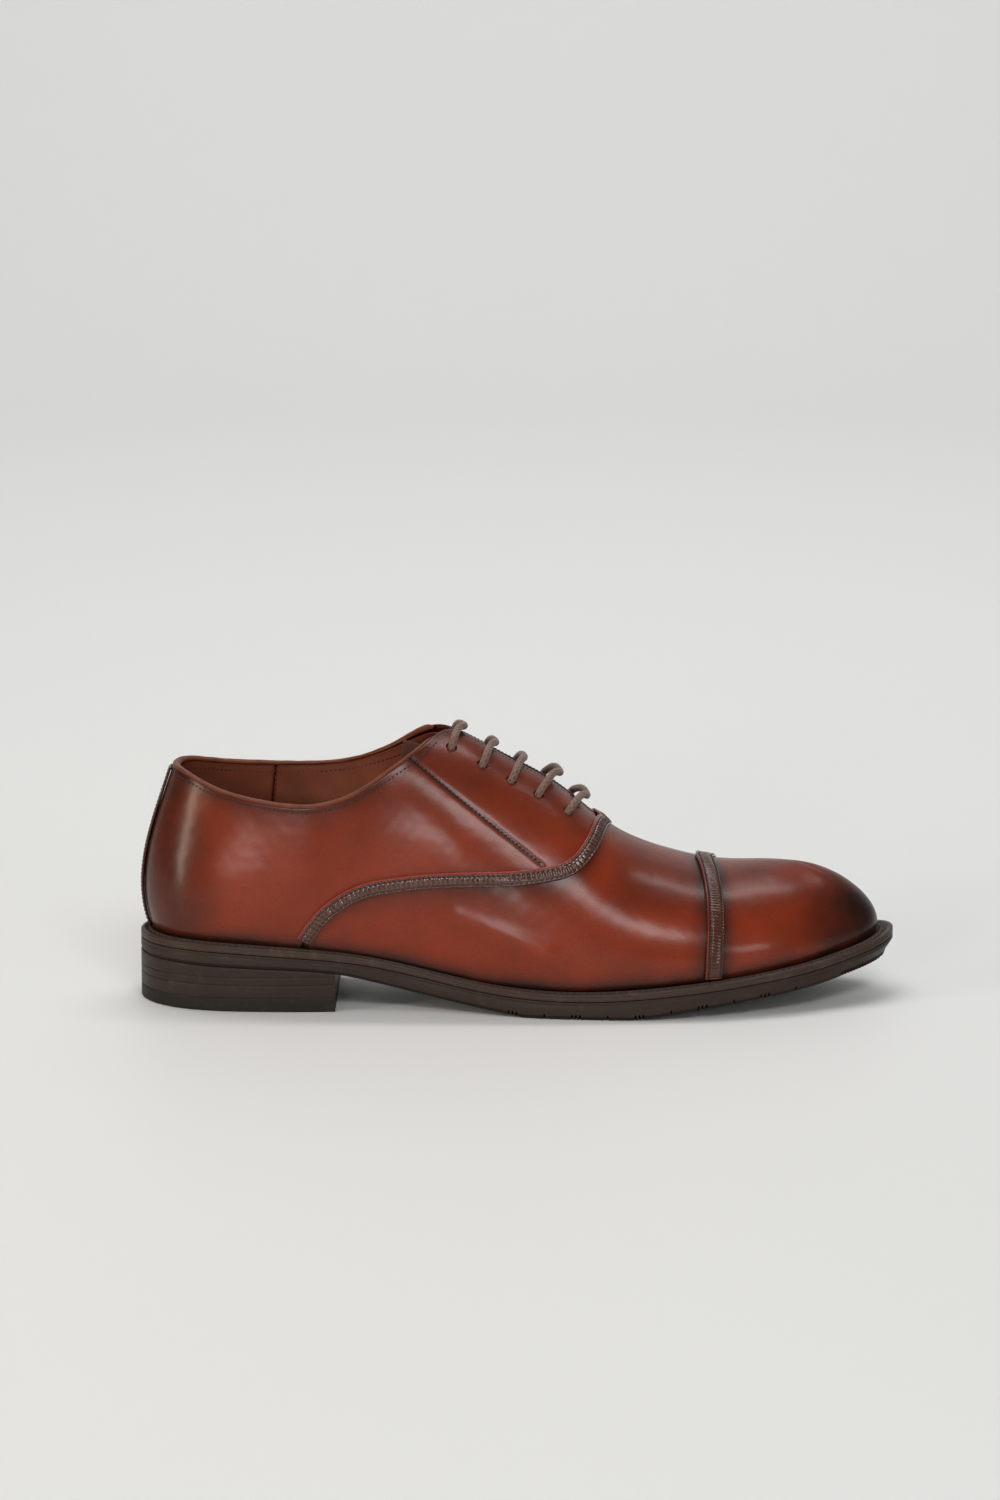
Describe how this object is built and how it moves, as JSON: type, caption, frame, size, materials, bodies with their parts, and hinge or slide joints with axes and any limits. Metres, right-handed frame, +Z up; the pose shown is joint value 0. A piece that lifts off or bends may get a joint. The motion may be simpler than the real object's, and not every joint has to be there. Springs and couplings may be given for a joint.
{
  "type": "oxford shoe",
  "caption": "Right-foot cap-toe leather oxford with closed lacing, welted sole, stacked heel and full lining.",
  "frame": {"origin": "on the ground plane under the centre of the shoe's bounding box", "axes": "+X to the toe, +Y to the medial (big-toe) side, +Z up"},
  "size_m": [0.305, 0.1002, 0.1117],
  "materials": {
    "upper_leather": "burnished calf, semi-gloss",
    "trim_leather": "dark polished calf",
    "lining_leather": "matt lining leather",
    "edge_leather": "thin rolled edge",
    "sole_leather": "waxed dark edge",
    "sole_rubber": "moulded, with a fine tread",
    "heel_rubber": "moulded, matt",
    "insole_board": "undyed insole leather",
    "cork": "granular cork filler",
    "stiffener_board": "impregnated stiffener",
    "shank_steel": "sprung steel",
    "nail_steel": "bright wire",
    "eyelet_brass": "lacquered",
    "lace_cord": "waxed round braid",
    "aglet_plastic": "crimped film"
  },
  "bodies": {
    "rear": {"outsole": "sole_rubber", "welt": "sole_leather", "heel_top_piece": "heel_rubber", "heel_lift_1": "sole_leather", "heel_lift_2": "sole_leather", "heel_lift_3": "sole_leather", "heel_nail_1": "nail_steel", "heel_nail_2": "nail_steel", "heel_nail_3": "nail_steel", "heel_nail_4": "nail_steel", "insole": "insole_board", "sock_liner": "lining_leather", "cork_filler": "cork", "heel_seat_filler": "insole_board", "shank": "shank_steel", "quarter_lateral": "upper_leather", "quarter_medial": "upper_leather", "vamp": "upper_leather", "throat_band": "trim_leather", "back_strip": "trim_leather", "topline_binding": "edge_leather", "heel_counter": "stiffener_board", "facing_stay_lateral": "stiffener_board", "facing_stay_medial": "stiffener_board", "quarter_lining_lateral": "lining_leather", "quarter_lining_medial": "lining_leather", "vamp_lining": "lining_leather", "heel_grip": "lining_leather", "lace": "lace_cord", "aglet_1": "aglet_plastic", "aglet_2": "aglet_plastic", "eyelet_lateral_1": "eyelet_brass", "eyelet_lateral_2": "eyelet_brass", "eyelet_lateral_3": "eyelet_brass", "eyelet_lateral_4": "eyelet_brass", "eyelet_lateral_5": "eyelet_brass", "eyelet_medial_1": "eyelet_brass", "eyelet_medial_2": "eyelet_brass", "eyelet_medial_3": "eyelet_brass", "eyelet_medial_4": "eyelet_brass", "eyelet_medial_5": "eyelet_brass"},
    "forefoot": {"toe_cap": "upper_leather", "toe_cap_trim": "trim_leather", "toe_puff": "stiffener_board"},
    "tongue": {"tongue": "upper_leather", "tongue_lining": "lining_leather"}
  },
  "joints": [
    {"name": "ball_flex", "type": "hinge", "parent": "rear", "child": "forefoot", "pos_m": [0.052, 0, 0.008], "axis": [0, -1, 0], "range_deg": [0, 15], "stiffness_Nm_per_rad": 6, "deforming": ["outsole", "welt", "insole", "sock_liner", "cork_filler", "vamp", "vamp_lining"]},
    {"name": "tongue_tilt", "type": "hinge", "parent": "rear", "child": "tongue", "pos_m": [0.032, 0, 0.066], "axis": [0, -1, 0], "range_deg": [0, 12], "stiffness_Nm_per_rad": 0.5}
  ]
}
